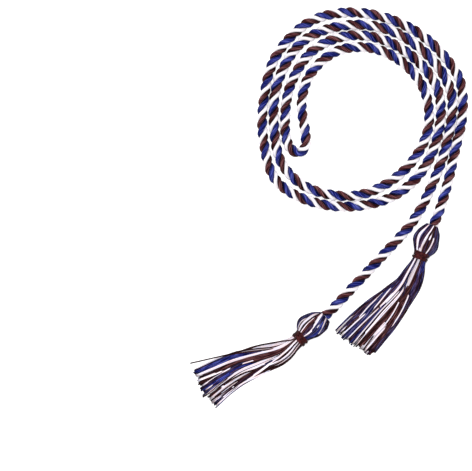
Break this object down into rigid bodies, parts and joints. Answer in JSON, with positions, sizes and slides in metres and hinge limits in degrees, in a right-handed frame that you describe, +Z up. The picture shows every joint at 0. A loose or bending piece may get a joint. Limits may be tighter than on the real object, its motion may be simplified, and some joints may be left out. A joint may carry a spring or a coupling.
{
  "type": "honor cord",
  "caption": "Long twisted rope in blue, maroon and white, worn round the neck, laid flat in a doubled spiral, with a looped tassel on each end.",
  "frame": {"origin": "on the surface that the cord lies on, under the middle of the whole part", "axes": "+Z up from that surface; +X from the left tassel's side to the right; +Y from the tassels to the spiral"},
  "size_m": [0.2143, 0.311, 0.0153],
  "materials": {
    "twisted_cord": "satin viscose yarn in three twisted plies, royal blue, maroon and white",
    "tassel_yarn": "loose satin yarns in dark maroon, navy blue and white",
    "binding_thread": "maroon thread wound tight in even turns"
  },
  "bodies": {
    "root": {"cord": "twisted_cord", "tassel_right": "tassel_yarn", "tassel_left": "tassel_yarn", "binding_right": "binding_thread", "binding_left": "binding_thread"}
  },
  "joints": []
}
